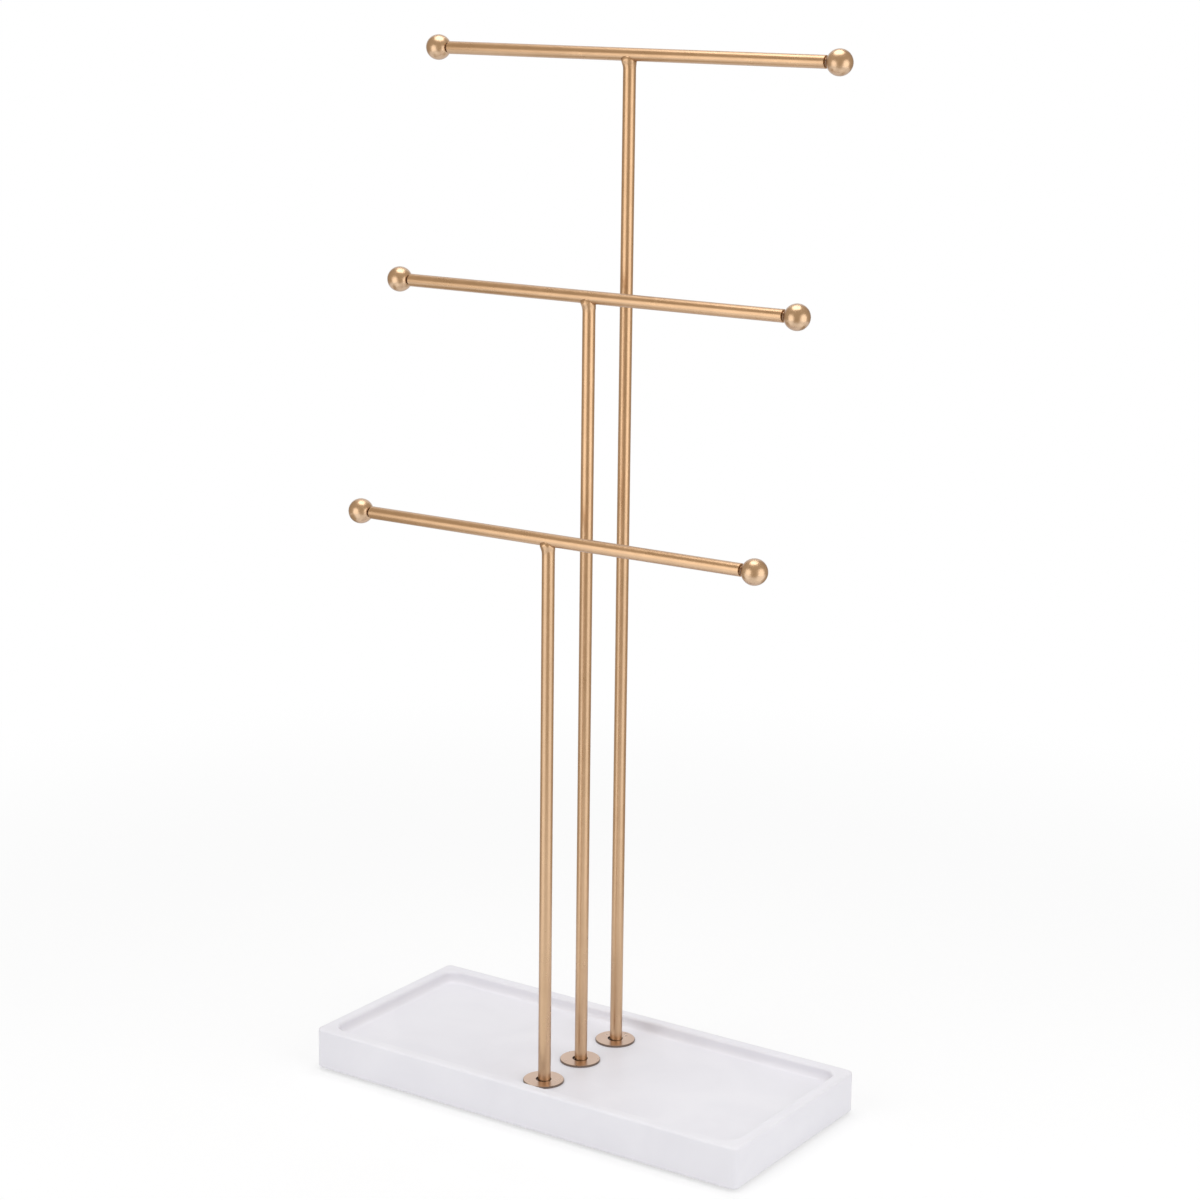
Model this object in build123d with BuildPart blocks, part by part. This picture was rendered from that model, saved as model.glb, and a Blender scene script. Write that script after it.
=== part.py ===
from build123d import *
import os

# Three-tier jewellery stand: a shallow stone tray, three round posts in a row from
# front to back, and on each post a crossbar with a ball on both ends.
# Millimetres, +Z up, X along the crossbars, front at -Y, origin on the table under
# the middle of the tray.

# Tray
tray_length = 242.5
tray_width = 109.0
floor_thickness = 14.2
recess_depth = 5.8
rim_width = 6.0
tray_corner_radius = 3.5
recess_corner_radius = 8.0
floor_cove_radius = 3.0
rim_edge_radius = 1.4
under_edge_radius = 0.8
least_wall_flat = 0.3

# Anti-slip pads under the tray
foot_diameter = 14.0
foot_thickness = 1.5
foot_inset = 16.0
foot_edge_chamfer = 0.3

# Posts and crossbars, all of one round rod
rod_diameter = 6.0
rod_end_chamfer = 0.5
low_bar_height = 278.0
tier_rise = 107.6
ball_span = 218.0
horn_trim = 1.2

# Ball finials, and the thinner stud on each end of a crossbar that carries one
ball_diameter = 12.0
ball_seat_depth = 7.2
ball_mouth_chamfer = 0.3
stud_diameter = 4.0
neck_length = 1.1
shoulder_edge_radius = 0.25

# Brazed bead between post and crossbar
bead_width = 0.65
bead_drop = 4.2
bead_lip = 0.06
bead_crown_drop = 0.6

# Loose rosette round the foot of each post, lying a little off centre
rosette_diameter = 19.6
rosette_thickness = 1.0
rosette_edge_chamfer = 0.25
rosette_hole_play = 0.75
rosette_drift = 0.45
rosette_margin = 4.95

# Screw and washer that hold each post from below
screw_diameter = 4.0
screw_bite = 8.0
screw_tip_chamfer = 0.5
screw_head_diameter = 8.0
screw_head_height = 2.8
screw_head_edge_radius = 0.9
drive_length = 4.6
drive_width = 1.1
drive_depth = 1.5
washer_diameter = 9.0
washer_thickness = 0.8

# Post socket with its wide mouth, ledge and screw recess in the tray
socket_mouth_play = 1.5
socket_mouth_depth = 2.0
ledge_thickness = 4.0
screw_head_inset = 1.4
screw_recess_diameter = 11.0
tap_runout = 2.0

# Clearances on the radius, and the overrun of every cut
fit_clearance = 0.1
screw_clearance = 0.25
joint_gap = 0.03
overrun = 1.0

# Levels, from the table up
tray_underside = foot_thickness
screw_head_level = tray_underside + screw_head_inset
washer_level = screw_head_level + screw_head_height
ledge_level = washer_level + washer_thickness
post_foot = ledge_level + ledge_thickness
floor_level = tray_underside + floor_thickness

# Sizes that follow from the ones above
rod_radius = rod_diameter / 2
ball_radius = ball_diameter / 2
screw_radius = screw_diameter / 2
cove_room = recess_depth - rim_edge_radius - least_wall_flat
stud_radius = stud_diameter / 2
ball_hole_radius = stud_radius + fit_clearance
mouth_radius = ball_hole_radius + ball_mouth_chamfer
mouth_distance = (ball_radius**2 - mouth_radius**2) ** 0.5
stud_reach = ball_span / 2 - ball_radius + ball_seat_depth
shoulder_reach = ball_span / 2 - mouth_distance - neck_length

# Tiers from front to back, each with its post's place and its crossbar's height
tier_names = ("low", "middle", "top")
front_post = rim_width + floor_cove_radius + rosette_margin + rosette_diameter / 2 - tray_width / 2
post_pitch = -2 * front_post / (len(tier_names) - 1)
tiers = {
    name: (front_post + tier * post_pitch, tray_underside + low_bar_height + tier * tier_rise)
    for tier, name in enumerate(tier_names)
}
post_places = [post_y for post_y, _ in tiers.values()]


def make_tray():
    """Slab with a coved recess, and under each post a stepped socket, a ledge and a screw recess."""
    with BuildPart() as tray:
        with BuildSketch(Plane.XY.offset(tray_underside)):
            RectangleRounded(tray_length, tray_width, tray_corner_radius)
        extrude(amount=floor_thickness + recess_depth)
        with BuildSketch(Plane.XY.offset(floor_level)):
            RectangleRounded(
                tray_length - 2 * rim_width, tray_width - 2 * rim_width, recess_corner_radius
            )
        extrude(amount=recess_depth + overrun, mode=Mode.SUBTRACT)
        fillet(tray.edges().group_by(Axis.Z)[-1], rim_edge_radius)
        fillet(tray.edges().group_by(Axis.Z)[0], under_edge_radius)
        recess_floor = tray.faces().filter_by_position(Axis.Z, floor_level, floor_level)
        fillet(recess_floor.edges(), min(floor_cove_radius, cove_room))
        with Locations(*[(0, post_y, floor_level) for post_y in post_places]):
            CounterBoreHole(
                radius=rod_radius + fit_clearance,
                counter_bore_radius=rod_radius + socket_mouth_play,
                counter_bore_depth=socket_mouth_depth,
                depth=floor_level - post_foot,
            )
        with Locations(
            *[Plane((0, post_y, tray_underside), z_dir=(0, 0, -1)) for post_y in post_places]
        ):
            CounterBoreHole(
                radius=screw_radius + screw_clearance,
                counter_bore_radius=screw_recess_diameter / 2,
                counter_bore_depth=ledge_level - tray_underside,
                depth=floor_thickness,
            )
    return tray


def make_foot(foot_x, foot_y):
    """Round pad with a softened lower edge."""
    with BuildPart() as foot:
        with BuildSketch(Plane((foot_x, foot_y, 0))):
            Circle(foot_diameter / 2)
        extrude(amount=foot_thickness)
        chamfer(foot.edges().group_by(Axis.Z)[0], foot_edge_chamfer)
    return foot


def make_post(post_y, bar_height):
    """Upright rod, coped at the top to sit under the crossbar and tapped at the foot."""
    with BuildPart() as post:
        with BuildSketch(Plane((0, post_y, post_foot))):
            Circle(rod_radius)
        extrude(amount=bar_height - horn_trim - post_foot)
        chamfer(post.edges().group_by(Axis.Z)[0], rod_end_chamfer)
        with BuildSketch(Plane((0, post_y, bar_height), z_dir=(1, 0, 0))):
            Circle(rod_radius + joint_gap)
        extrude(amount=rod_radius + overrun, both=True, mode=Mode.SUBTRACT)
        with Locations(Plane((0, post_y, post_foot), z_dir=(0, 0, -1))):
            Hole(radius=screw_radius + joint_gap, depth=screw_bite + tap_runout)
    return post


def make_crossbar(post_y, bar_height):
    """Level rod, turned down at both ends to a chamfered stud that goes into the ball."""
    with BuildPart() as crossbar:
        with BuildSketch(Plane((0, post_y, bar_height), z_dir=(1, 0, 0))):
            Circle(rod_radius)
        extrude(amount=shoulder_reach, both=True)
        shoulders = crossbar.faces().sort_by(Axis.X)
        fillet(shoulders[0].edges() + shoulders[-1].edges(), shoulder_edge_radius)
        with BuildSketch(Plane((0, post_y, bar_height), z_dir=(1, 0, 0))):
            Circle(stud_radius)
        extrude(amount=stud_reach, both=True)
        ends = crossbar.faces().sort_by(Axis.X)
        chamfer(ends[0].edges() + ends[-1].edges(), rod_end_chamfer)
    return crossbar


def make_ball(post_y, bar_height, side):
    """Ball with a blind hole that takes the crossbar's stud; side is -1 or 1 along X."""
    centre = (side * ball_span / 2, post_y, bar_height)
    seat = ball_seat_depth - ball_radius
    with BuildPart() as ball:
        with BuildSketch(Plane(centre, x_dir=(side, 0, 0), z_dir=(0, -side, 0))):
            with BuildLine():
                skin = ThreePointArc(
                    (ball_radius, 0), (0, ball_radius), (-mouth_distance, mouth_radius)
                )
                Polyline(
                    skin @ 1,
                    (ball_mouth_chamfer - mouth_distance, ball_hole_radius),
                    (seat, ball_hole_radius),
                    (seat, 0),
                    skin @ 0,
                )
            make_face()
        revolve(axis=Axis(centre, (1, 0, 0)))
    return ball


def make_braze(post_y, bar_height):
    """Bead that flares up the post and closes the corner under the crossbar."""
    inside = rod_radius + joint_gap
    foot_of_bead = -rod_radius - bead_drop
    top_of_bead = -bead_crown_drop
    with BuildPart() as braze:
        with BuildSketch(Plane((0, post_y, bar_height), x_dir=(1, 0, 0), z_dir=(0, -1, 0))):
            with BuildLine():
                flare = TangentArc(
                    (inside + bead_lip, foot_of_bead),
                    (inside + bead_width, -rod_radius),
                    tangent=(0, 1),
                )
                crown = TangentArc(flare @ 1, (inside + bead_lip, top_of_bead), tangent=flare % 1)
                Polyline(crown @ 1, (inside, top_of_bead), (inside, foot_of_bead), flare @ 0)
            make_face()
        revolve(axis=Axis((0, post_y, bar_height), (0, 0, 1)))
        with BuildSketch(Plane((0, post_y, bar_height), z_dir=(1, 0, 0))):
            Circle(rod_radius + joint_gap)
        extrude(amount=rod_radius + bead_drop + overrun, both=True, mode=Mode.SUBTRACT)
    return braze


def make_rosette(post_y):
    """Thin disc on the tray floor, its hole wider than the post."""
    with BuildPart() as rosette:
        with BuildSketch(Plane((-rosette_drift, post_y, floor_level))):
            Circle(rosette_diameter / 2)
            Circle(rod_radius + rosette_hole_play, mode=Mode.SUBTRACT)
        extrude(amount=rosette_thickness)
        rim = rosette.edges().group_by(Axis.Z)[-1].sort_by(SortBy.RADIUS)[-1]
        chamfer(rim, rosette_edge_chamfer)
    return rosette


def make_washer(post_y):
    """Flat washer between the screw head and the ledge."""
    with BuildPart() as washer:
        with BuildSketch(Plane((0, post_y, washer_level))):
            Circle(washer_diameter / 2)
            Circle(screw_radius + screw_clearance, mode=Mode.SUBTRACT)
        extrude(amount=washer_thickness)
    return washer


def make_screw(post_y):
    """Pan-head machine screw, head down, with a cross drive."""
    with BuildPart() as screw:
        with BuildSketch(Plane((0, post_y, screw_head_level))):
            Circle(screw_head_diameter / 2)
        extrude(amount=screw_head_height)
        fillet(screw.edges().group_by(Axis.Z)[0], screw_head_edge_radius)
        with BuildSketch(Plane((0, post_y, washer_level))):
            Circle(screw_radius)
        extrude(amount=washer_thickness + ledge_thickness + screw_bite)
        chamfer(screw.edges().group_by(Axis.Z)[-1], screw_tip_chamfer)
        with BuildSketch(Plane((0, post_y, screw_head_level))):
            Rectangle(drive_length, drive_width)
            Rectangle(drive_width, drive_length)
        extrude(amount=drive_depth, mode=Mode.SUBTRACT)
    return screw


def save(piece, name):
    """Labels a finished piece and writes it as its own file."""
    piece.part.label = name
    export_step(piece.part, f"parts/{name}.step")


os.makedirs("parts", exist_ok=True)
save(make_tray(), "base_tray")

foot_x = tray_length / 2 - foot_inset
foot_y = tray_width / 2 - foot_inset
save(make_foot(-foot_x, -foot_y), "foot_front_left")
save(make_foot(foot_x, -foot_y), "foot_front_right")
save(make_foot(-foot_x, foot_y), "foot_rear_left")
save(make_foot(foot_x, foot_y), "foot_rear_right")

for tier_name, (tier_y, tier_height) in tiers.items():
    save(make_post(tier_y, tier_height), f"{tier_name}_post")
    save(make_crossbar(tier_y, tier_height), f"{tier_name}_crossbar")
    save(make_ball(tier_y, tier_height, -1), f"{tier_name}_left_ball")
    save(make_ball(tier_y, tier_height, 1), f"{tier_name}_right_ball")
    save(make_braze(tier_y, tier_height), f"{tier_name}_braze")
    save(make_rosette(tier_y), f"{tier_name}_rosette")
    save(make_screw(tier_y), f"{tier_name}_screw")
    save(make_washer(tier_y), f"{tier_name}_washer")
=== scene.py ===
import math

import bmesh
import bpy
from mathutils import Matrix, Vector, noise


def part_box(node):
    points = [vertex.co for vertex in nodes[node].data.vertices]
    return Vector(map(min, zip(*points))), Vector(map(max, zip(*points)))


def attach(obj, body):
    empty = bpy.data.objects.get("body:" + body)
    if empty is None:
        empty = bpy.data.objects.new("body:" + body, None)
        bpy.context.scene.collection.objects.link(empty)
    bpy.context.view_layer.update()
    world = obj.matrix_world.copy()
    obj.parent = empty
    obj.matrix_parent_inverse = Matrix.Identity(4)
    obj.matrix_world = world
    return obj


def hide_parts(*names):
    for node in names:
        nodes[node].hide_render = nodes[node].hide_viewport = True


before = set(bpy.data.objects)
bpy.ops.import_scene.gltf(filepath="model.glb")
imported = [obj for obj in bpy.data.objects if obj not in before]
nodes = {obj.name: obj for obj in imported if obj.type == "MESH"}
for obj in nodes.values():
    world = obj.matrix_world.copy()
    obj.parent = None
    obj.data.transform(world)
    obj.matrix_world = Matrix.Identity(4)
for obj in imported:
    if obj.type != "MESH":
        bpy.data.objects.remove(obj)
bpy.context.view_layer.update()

# Looks of a three-tier jewelry tree: stone tray, satin gold posts and ball-ended crossbars.
# Metres and degrees, +Z up and the front at -Y, as in the frame. Colours are in linear light.

tiers = ("low", "middle", "top")
sides = ("left", "right")

# Camera, as the photograph was taken
camera_place = Vector((0.7014, -1.0333, 0.5435))
camera_azimuth = 33.865
camera_tilt = 13.414
camera_roll = 0.697
camera_lens = 82.56
sensor_width = 36.0

# Studio light: level 1 is the brightness at which a colour renders as it is written
white = (1.0, 1.0, 1.0)
white_level = 1.0
ambient_level = 0.44

# Softboxes: those beside the camera each have their turn from it and their watts
side_softboxes = {"left_softbox": (-51, 3.45), "right_softbox": (54, 3.65)}
side_softbox_size = (0.78, 1.2)
side_softbox_distance = 0.85
side_softbox_centre = 0.605
top_softbox_size = (0.9, 0.9)
top_softbox_height = 1.25
top_softbox_setback = 0.12
top_softbox_watts = 6.3

# Dim domed wall that only reflections see, open behind the stand
wall_radius = 1.0
wall_height = 1.4
wall_colour = (1.0, 0.84, 0.64)
wall_level = 0.55
wall_step = 5
wall_opening_turn = 35
wall_opening_rise = 55

# Low curved cards that only reflections see, each with its first and last turn and its distance
card_height = 0.22
dim_cards = {
    "front_card": (-25, 25, 0.5),
    "left_card": (-140, -80, 0.26),
    "right_card": (80, 140, 0.26),
}
white_cards = {
    "left_white_card": (-75, -30, 0.26),
    "right_white_card": (30, 75, 0.26),
}
white_card_level = 1.3

# Floor: shows a soft shadow near the stand and goes over into plain white further out
floor_size = 24.0
floor_shade_radius = 0.24
floor_white_radius = 0.75
floor_colour = (0.9, 0.9, 0.9)
floor_shown_colour = (0.42, 0.42, 0.42)
floor_shown_glow = 0.58

# Span of the noise over which a finish goes from its first to its second tone or roughness
drift_span = (0.3, 0.7)

# Golds: the two tones of each, the tint at their rims, and grain in layers of (size, depth)
post_tones = [(0.57, 0.364, 0.2), (0.615, 0.398, 0.225)]
ball_tones = [(0.595, 0.405, 0.25), (0.64, 0.44, 0.275)]
bead_tones = [(0.54, 0.34, 0.185), (0.61, 0.392, 0.218)]
disc_tones = [(0.58, 0.4, 0.285), (0.62, 0.435, 0.315)]
dark_rim = (0.42, 0.34, 0.33)
pale_rim = (0.68, 0.62, 0.6)
satin_roughness = (0.27, 0.35)
bead_roughness = (0.26, 0.42)
disc_roughness = (0.26, 0.36)
satin_grain = [(0.0022, 0.000005), (0.0005, 0.000002)]
bead_grain = [(0.0011, 0.00004), (0.0004, 0.000008)]
disc_grain = [(0.0022, 0.000005), (0.0006, 0.000006)]
lacquer_roughness = 0.28
lacquer_ior = 1.65

# Hairline that keeps a painted place clear of the faces beside it
paint_hair = 0.00003

# Painted shade on each rosette: everything below its flat top is painted dark
rosette_shade_colour = (0.17, 0.12, 0.095)

# Bare threaded stud between each crossbar's shoulder and its ball
neck_length = 0.0011
stud_colour = (0.36, 0.22, 0.12)
thread_pitch = 0.0007
thread_depth = 0.00015

# Pitch of the wave texture at scale 1
unit_wave_pitch = math.pi / 10

# Brazed beads: their lean to one side, their lumps, and how they sink into the post
bead_lean = 0.55
bead_lean_turn = -90
bead_lump_height = 0.0002
bead_lump_size = 0.0017
bead_sink = 0.00011
bead_skin = 0.00012
bead_seeds = {"low": 11, "middle": 23, "top": 37}
weld_distance = 0.000001


def heading(turn, rise=0):
    """Unit direction from the stand, turned from the camera's side and raised."""
    azimuth = math.radians(camera_azimuth + turn)
    elevation = math.radians(rise)
    return Vector((
        math.sin(azimuth) * math.cos(elevation),
        -math.cos(azimuth) * math.cos(elevation),
        math.sin(elevation),
    ))


def shader_of(material):
    """The material's main shader."""
    return material.node_tree.nodes["Principled BSDF"]


def set_shader(material, values):
    """Sets plain values on the material's main shader."""
    for name, value in values.items():
        shader_of(material).inputs[name].default_value = value


def add_place(tree):
    """A point's place in its piece's own space."""
    return tree.nodes.new("ShaderNodeTexCoord").outputs["Object"]


def add_axis(tree, place, axis):
    """One coordinate of a place."""
    parts = tree.nodes.new("ShaderNodeSeparateXYZ")
    tree.links.new(place, parts.inputs["Vector"])
    return parts.outputs[axis]


def add_math(tree, operation, *terms):
    """A number worked out from sockets and plain values."""
    node = tree.nodes.new("ShaderNodeMath")
    node.operation = operation
    for term, socket in zip(terms, node.inputs):
        if isinstance(term, float):
            socket.default_value = term
        else:
            tree.links.new(term, socket)
    return node.outputs["Value"]


def add_noise(tree, size, detail=3.0, distortion=0.0):
    """Noise in the piece's own space, with features of about the given size."""
    texture = tree.nodes.new("ShaderNodeTexNoise")
    texture.inputs["Scale"].default_value = 1 / size
    texture.inputs["Detail"].default_value = detail
    texture.inputs["Distortion"].default_value = distortion
    tree.links.new(add_place(tree), texture.inputs["Vector"])
    return texture.outputs["Fac"]


def add_range(tree, value, span, results, easing="LINEAR"):
    """A number that crosses the results while the value crosses the span."""
    node = tree.nodes.new("ShaderNodeMapRange")
    node.interpolation_type = easing
    node.inputs["From Min"].default_value, node.inputs["From Max"].default_value = span
    node.inputs["To Min"].default_value, node.inputs["To Max"].default_value = results
    tree.links.new(value, node.inputs["Value"])
    return node.outputs["Result"]


def add_tones(tree, value, span, tones):
    """A colour that goes over between two tones while the value crosses the span."""
    node = tree.nodes.new("ShaderNodeValToRGB")
    for element, place, tone in zip(node.color_ramp.elements, span, tones):
        element.position = place
        element.color = (*tone, 1.0)
    tree.links.new(value, node.inputs["Fac"])
    return node.outputs["Color"]


def add_bump(tree, shader, height, depth):
    """Lays a bump over the shader's normal so far."""
    normal = shader.inputs["Normal"]
    bump = tree.nodes.new("ShaderNodeBump")
    bump.inputs["Distance"].default_value = depth
    tree.links.new(height, bump.inputs["Height"])
    if normal.is_linked:
        tree.links.new(normal.links[0].from_socket, bump.inputs["Normal"])
    tree.links.new(bump.outputs["Normal"], normal)


def add_bare_metal_and_shade(tree, shader, mask, colour):
    """Shows another colour where the mask is 1, for bare metal and for painted shade."""
    mix = tree.nodes.new("ShaderNodeMix")
    mix.data_type = "RGBA"
    painted, bare_metal_and_shade = [socket for socket in mix.inputs if socket.type == "RGBA"]
    shown, = [socket for socket in mix.outputs if socket.type == "RGBA"]
    tree.links.new(mask, mix.inputs["Factor"])
    tree.links.new(shader.inputs["Base Color"].links[0].from_socket, painted)
    bare_metal_and_shade.default_value = (*colour, 1.0)
    tree.links.new(shown, shader.inputs["Base Color"])


def make_finish(name, tones, clouds, roughness, blotch_size, grain, grain_detail=2.0, tone_span=drift_span):
    """Material with clouded tones, blotched roughness, and grain in bump layers of (size, depth)."""
    material = bpy.data.materials.new(name)
    material.use_nodes = True
    tree = material.node_tree
    shader = shader_of(material)
    tone = add_tones(tree, add_noise(tree, **clouds), tone_span, tones)
    blotches = add_range(tree, add_noise(tree, blotch_size), drift_span, roughness)
    tree.links.new(tone, shader.inputs["Base Color"])
    tree.links.new(blotches, shader.inputs["Roughness"])
    for size, depth in grain:
        add_bump(tree, shader, add_noise(tree, size, grain_detail), depth)
    return material


def make_stone():
    """White cast stone, cool and faintly clouded, with a soft polish."""
    return make_finish(
        "white_stone",
        tones=[(0.80, 0.79, 0.835), (0.845, 0.835, 0.875)],
        clouds={"size": 0.045, "detail": 6.0, "distortion": 0.9},
        roughness=(0.38, 0.48),
        blotch_size=0.02,
        grain=[(0.02, 0.00003), (0.0011, 0.000006)],
    )


def make_gold(name, tones, rim=dark_rim, roughness=satin_roughness, grain=satin_grain):
    """Satin gold under a clear lacquer."""
    clouds = {"size": 0.012, "detail": 4.0}
    material = make_finish(name, tones, clouds, roughness, blotch_size=0.005, grain=grain)
    set_shader(material, {
        "Metallic": 1.0,
        "Specular Tint": (*rim, 1.0),
        "Coat Weight": 1.0,
        "Coat Roughness": lacquer_roughness,
        "Coat IOR": lacquer_ior,
    })
    return material


def make_zinc():
    """Bright zinc plating with a faint blue and yellow cast."""
    material = make_finish(
        "zinc_plate",
        tones=[(0.52, 0.54, 0.57), (0.58, 0.57, 0.53)],
        clouds={"size": 0.004},
        roughness=(0.24, 0.4),
        blotch_size=0.0012,
        grain=[(0.0005, 0.000008)],
    )
    set_shader(material, {"Metallic": 1.0})
    return material


def make_rubber():
    """Matt dark rubber with a moulded grain and dusty patches."""
    return make_finish(
        "grained_rubber",
        tones=[(0.012, 0.012, 0.013), (0.03, 0.03, 0.029)],
        tone_span=(0.35, 0.75),
        clouds={"size": 0.006, "detail": 4.0},
        roughness=(0.65, 0.85),
        blotch_size=0.003,
        grain=[(0.0006, 0.00004)],
        grain_detail=3.0,
    )


def add_rosette_shade(material):
    """Painted shade on the side, underside and hole wall of each rosette, below its flat top."""
    tree = material.node_tree
    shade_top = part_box("low_rosette")[1].z - paint_hair
    height = add_axis(tree, add_place(tree), "Z")
    shaded_side = add_math(tree, "LESS_THAN", height, shade_top)
    add_bare_metal_and_shade(tree, shader_of(material), shaded_side, rosette_shade_colour)


def add_thread(material):
    """Bare brass thread on the stud at each end of a crossbar."""
    tree = material.node_tree
    shader = shader_of(material)
    shoulder = -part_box("low_left_ball")[1].x - neck_length
    place = add_place(tree)
    distance = add_math(tree, "ABSOLUTE", add_axis(tree, place, "X"))
    stud = add_math(tree, "GREATER_THAN", distance, shoulder + paint_hair)
    add_bare_metal_and_shade(tree, shader, stud, stud_colour)
    turns = tree.nodes.new("ShaderNodeTexWave")
    turns.inputs["Scale"].default_value = unit_wave_pitch / thread_pitch
    tree.links.new(place, turns.inputs["Vector"])
    add_bump(tree, shader, add_math(tree, "MULTIPLY", turns.outputs["Fac"], stud), thread_depth)


def dress(material, *names):
    """Gives CAD nodes a material in their own slots."""
    for name in names:
        for slot in nodes[name].material_slots:
            slot.material = material


def shape_bead(data, tier):
    """Lumps a plain bead and lets it lean to one side of its post."""
    post_low, post_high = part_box(f"{tier}_post")
    axis = (post_low + post_high) / 2
    post_radius = (post_high.x - post_low.x) / 2
    noise.seed_set(bead_seeds[tier])
    shift = noise.random_unit_vector() * bead_seeds[tier]
    lean = heading(bead_lean_turn)
    mesh = bmesh.new()
    mesh.from_mesh(data)
    bmesh.ops.remove_doubles(mesh, verts=mesh.verts, dist=weld_distance)
    for vertex in mesh.verts:
        outward = Vector((vertex.co.x - axis.x, vertex.co.y - axis.y, 0))
        proud = outward.length - post_radius
        outward.normalize()
        lumpiness = min(max((proud - bead_skin) / bead_skin, 0), 1)
        lump = noise.noise(vertex.co / bead_lump_size + shift) * bead_lump_height
        grown = (proud - bead_sink) * (1 + bead_lean * outward.dot(lean)) + lumpiness * lump
        vertex.co += outward * (grown - proud)
    mesh.to_mesh(data)
    mesh.free()
    data.shade_smooth()


def add_bead(tier, material):
    """Lumpy brazed bead in place of the plain CAD one."""
    bead = bpy.data.objects.new(f"{tier}_bead", nodes[f"{tier}_braze"].data.copy())
    bpy.context.scene.collection.objects.link(bead)
    shape_bead(bead.data, tier)
    bead.data.materials.clear()
    bead.data.materials.append(material)
    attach(bead, f"{tier}_tee")
    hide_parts(f"{tier}_braze")


def add_camera():
    """Camera at the photograph's place and turn."""
    forward = -heading(0, camera_tilt)
    level = heading(90)
    roll = math.radians(camera_roll)
    right = level * math.cos(roll) + level.cross(forward) * math.sin(roll)
    turn = Matrix((right, right.cross(forward), -forward)).transposed()
    lens = bpy.data.cameras.new("camera")
    lens.lens = camera_lens
    lens.sensor_width = sensor_width
    camera = bpy.data.objects.new("camera", lens)
    camera.matrix_world = Matrix.LocRotScale(camera_place, turn, None)
    bpy.context.scene.collection.objects.link(camera)
    bpy.context.scene.camera = camera


def add_softbox(name, place, aim, size, watts):
    """Soft lamp hidden from the camera."""
    lamp = bpy.data.lights.new(name, "AREA")
    lamp.shape = "RECTANGLE"
    lamp.size, lamp.size_y = size
    lamp.energy = watts
    softbox = bpy.data.objects.new(name, lamp)
    softbox.location = place
    softbox.rotation_mode = "QUATERNION"
    softbox.rotation_quaternion = (place - aim).to_track_quat("Z", "Y")
    softbox.visible_camera = False
    bpy.context.scene.collection.objects.link(softbox)


def add_lamps():
    """One softbox on each side of the camera and one overhead."""
    centre = Vector((0, 0, side_softbox_centre))
    for name, (turn, watts) in side_softboxes.items():
        place = heading(turn) * side_softbox_distance + centre
        add_softbox(name, place, centre, side_softbox_size, watts)
    top = heading(180) * top_softbox_setback + Vector((0, 0, top_softbox_height))
    add_softbox("top_softbox", top, Vector(), top_softbox_size, top_softbox_watts)


def start_tree(owner, output):
    """Empties the nodes of a material or world; returns its tree and its surface socket."""
    owner.use_nodes = True
    tree = owner.node_tree
    tree.nodes.clear()
    return tree, tree.nodes.new(output).inputs["Surface"]


def add_shader(tree, kind, colour, strength=None):
    """A plain shader of the given kind."""
    node = tree.nodes.new(kind)
    node.inputs["Color"].default_value = (*colour, 1.0)
    if strength is not None:
        node.inputs["Strength"].default_value = strength
    return node.outputs[0]


def join_shaders(tree, kind, first, second, factor=None):
    """Adds or mixes two shaders."""
    node = tree.nodes.new(kind)
    shaders = [socket for socket in node.inputs if socket.type == "SHADER"]
    tree.links.new(first, shaders[0])
    tree.links.new(second, shaders[1])
    if factor:
        tree.links.new(factor, node.inputs["Fac"])
    return node.outputs["Shader"]


def add_shown_switch(tree):
    """Factor that is 1 for rays by which the camera, metal or glass sees a surface."""
    path = tree.nodes.new("ShaderNodeLightPath")
    shown = path.outputs["Is Camera Ray"]
    for ray in ("Is Glossy Ray", "Is Transmission Ray"):
        shown = add_math(tree, "MAXIMUM", shown, path.outputs[ray])
    return shown


def add_stage(name, places, faces, material):
    """Surface of the stage."""
    mesh = bpy.data.meshes.new(name)
    mesh.from_pydata(places, [], faces)
    mesh.materials.append(material)
    surface = bpy.data.objects.new(name, mesh)
    bpy.context.scene.collection.objects.link(surface)
    return surface


def add_reflected(name, places, faces, material):
    """Stage surface that only reflections see."""
    surface = add_stage(name, places, faces, material)
    surface.visible_camera = False
    surface.visible_diffuse = False
    surface.visible_transmission = False
    surface.visible_shadow = False


def make_glow(name, colour, level):
    """Plain glowing paper."""
    material = bpy.data.materials.new(name)
    tree, surface = start_tree(material, "ShaderNodeOutputMaterial")
    tree.links.new(add_shader(tree, "ShaderNodeEmission", colour, level), surface)
    return material


def add_card(name, first_turn, last_turn, distance, material):
    """Low upright card, curved round the stand."""
    corners = []
    for turn in range(first_turn, last_turn + 1, wall_step):
        foot = heading(turn) * distance
        corners += [foot, foot + Vector((0, 0, card_height))]
    faces = [(index, index + 2, index + 3, index + 1) for index in range(0, len(corners) - 2, 2)]
    add_reflected(name, corners, faces, material)


def add_wall(material):
    """Domed wall round the stage, without the faces of its opening."""
    turns = range(0, 360, wall_step)
    rises = range(0, 90 + wall_step, wall_step)
    stretch = Vector((wall_radius, wall_radius, wall_height))
    places = {(turn, rise): heading(turn, rise) * stretch for turn in turns for rise in rises}
    order = {key: index for index, key in enumerate(places)}
    faces = []
    for turn in turns:
        behind = abs(turn + wall_step / 2 - 180) < wall_opening_turn
        beside = (turn + wall_step) % 360
        for rise in rises[:-1]:
            if behind and rise < wall_opening_rise:
                continue
            above = rise + wall_step
            corners = (turn, rise), (beside, rise), (beside, above), (turn, above)
            faces.append([order[corner] for corner in corners])
    add_reflected("studio_wall", list(places.values()), faces, material)


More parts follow.
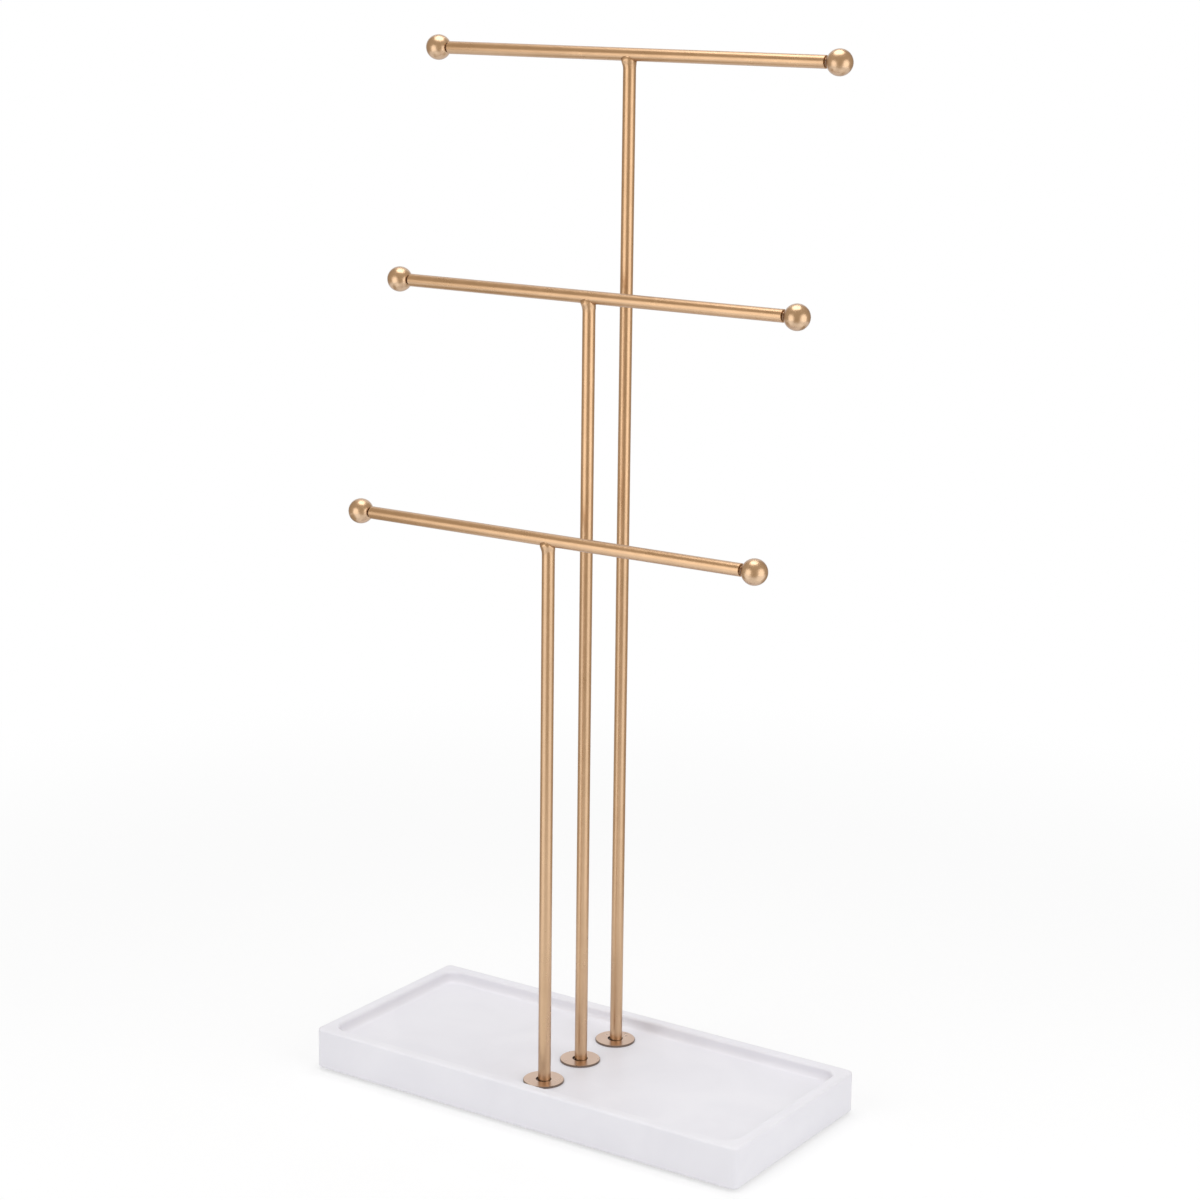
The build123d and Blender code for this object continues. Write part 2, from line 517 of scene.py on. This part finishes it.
def set_world():
    """White backdrop to look at, softer ambient light to be lit by."""
    world = bpy.data.worlds.new("studio")
    tree, surface = start_tree(world, "ShaderNodeOutputWorld")
    lit = add_shader(tree, "ShaderNodeBackground", white, ambient_level)
    seen = add_shader(tree, "ShaderNodeBackground", white, white_level)
    whole = join_shaders(tree, "ShaderNodeMixShader", lit, seen, add_shown_switch(tree))
    tree.links.new(whole, surface)
    bpy.context.scene.world = world


def make_floor_paper():
    """Pale paper: shaded near the stand, plain white further out."""
    material = bpy.data.materials.new("floor_paper")
    tree, surface = start_tree(material, "ShaderNodeOutputMaterial")
    distance = tree.nodes.new("ShaderNodeVectorMath")
    distance.operation = "LENGTH"
    tree.links.new(add_place(tree), distance.inputs["Vector"])
    fade_span = (floor_shade_radius, floor_white_radius)
    fade = add_range(tree, distance.outputs["Value"], fade_span, (0.0, 1.0), "SMOOTHSTEP")

    shade = add_shader(tree, "ShaderNodeBsdfDiffuse", floor_shown_colour)
    glow = add_shader(tree, "ShaderNodeEmission", white, floor_shown_glow)
    near = join_shaders(tree, "ShaderNodeAddShader", shade, glow)
    far = add_shader(tree, "ShaderNodeEmission", white, white_level)
    seen = join_shaders(tree, "ShaderNodeMixShader", near, far, fade)
    lit = add_shader(tree, "ShaderNodeBsdfDiffuse", floor_colour)
    whole = join_shaders(tree, "ShaderNodeMixShader", lit, seen, add_shown_switch(tree))
    tree.links.new(whole, surface)
    return material


def add_floor():
    """Level floor that the stand's pads rest on."""
    half = floor_size / 2
    corners = [(-half, -half, 0), (half, -half, 0), (half, half, 0), (-half, half, 0)]
    add_stage("floor", corners, [(0, 1, 2, 3)], make_floor_paper())


# Finishes of the solids
post_gold = make_gold("champagne_gold", post_tones)
bar_gold = make_gold("crossbar_gold", post_tones)
ball_gold = make_gold("ball_gold", ball_tones)
bead_gold = make_gold("braze_gold", bead_tones, roughness=bead_roughness, grain=bead_grain)
disc_gold = make_gold("pale_gold", disc_tones, pale_rim, disc_roughness, disc_grain)
zinc = make_zinc()
# Painted shade: the rosettes' sides, undersides and hole walls are painted dark
add_rosette_shade(disc_gold)
add_thread(bar_gold)
dress(make_stone(), "base_tray")
dress(make_rubber(), *[name for name in nodes if name.startswith("foot_")])
for tier in tiers:
    dress(post_gold, f"{tier}_post")
    dress(bar_gold, f"{tier}_crossbar")
    dress(disc_gold, f"{tier}_rosette")
    dress(ball_gold, *[f"{tier}_{side}_ball" for side in sides])
    dress(zinc, f"{tier}_screw", f"{tier}_washer")
    add_bead(tier, bead_gold)

# Camera, light and stage
add_camera()
add_lamps()
wall_paper = make_glow("studio_wall", wall_colour, wall_level)
white_paper = make_glow("white_card", white, white_card_level)
add_wall(wall_paper)
for paper, cards in ((wall_paper, dim_cards), (white_paper, white_cards)):
    for card, (first_turn, last_turn, distance) in cards.items():
        add_card(card, first_turn, last_turn, distance, paper)
set_world()
add_floor()
bpy.context.scene.view_settings.view_transform = "Standard"
